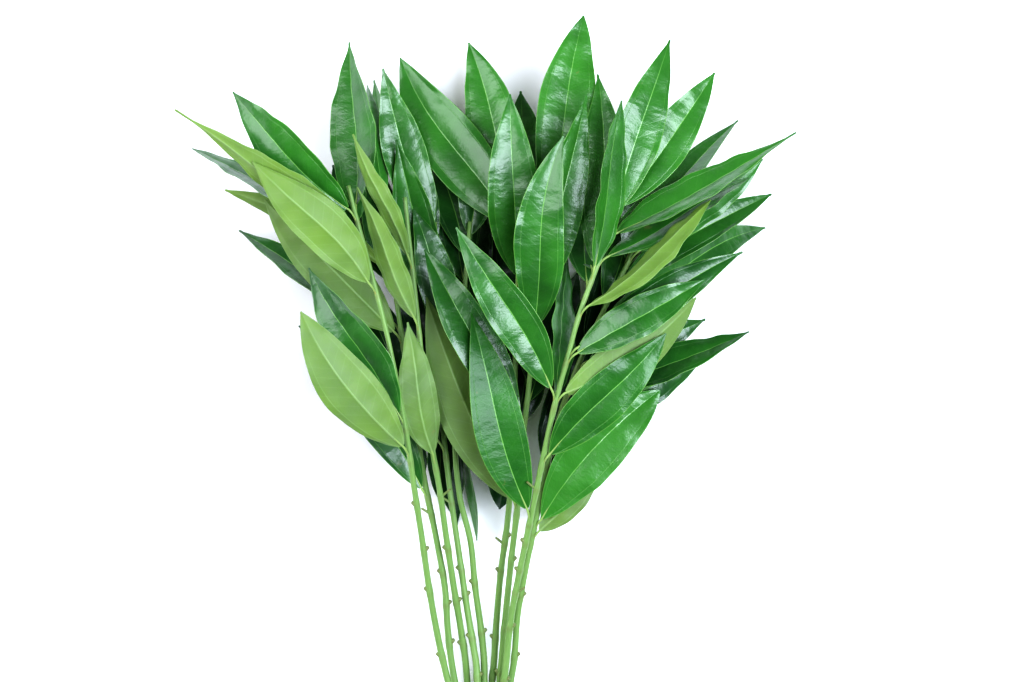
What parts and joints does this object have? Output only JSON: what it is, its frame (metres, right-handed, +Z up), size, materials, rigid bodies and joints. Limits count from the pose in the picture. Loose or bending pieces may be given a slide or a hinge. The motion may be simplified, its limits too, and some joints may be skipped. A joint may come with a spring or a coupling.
{
  "type": "bunch of cocculus branches",
  "caption": "Bunch of cut evergreen foliage: long glossy lance-shaped leaves on slim green stems that fan out from a band, lying on a surface.",
  "frame": {"origin": "middle of the bunch's box, on the surface that it lies on", "axes": "+Y along the stems from the cut ends to the leaf tips, +Z up from the surface, +X to the right when the bunch is seen from above with the tips away"},
  "size_m": [0.401, 0.5934, 0.1497],
  "materials": {
    "foliage": "glossy deep green leaves with pale undersides on matt green stems",
    "band_rubber": "matt tan rubber band"
  },
  "bodies": {
    "root": {"leafy_stem_1": "foliage", "leafy_stem_2": "foliage", "leafy_stem_3": "foliage", "leafy_stem_4": "foliage", "leafy_stem_5": "foliage", "leafy_stem_6": "foliage", "leafy_stem_7": "foliage", "leafy_stem_8": "foliage", "leafy_stem_9": "foliage", "tie": "band_rubber"}
  },
  "joints": []
}
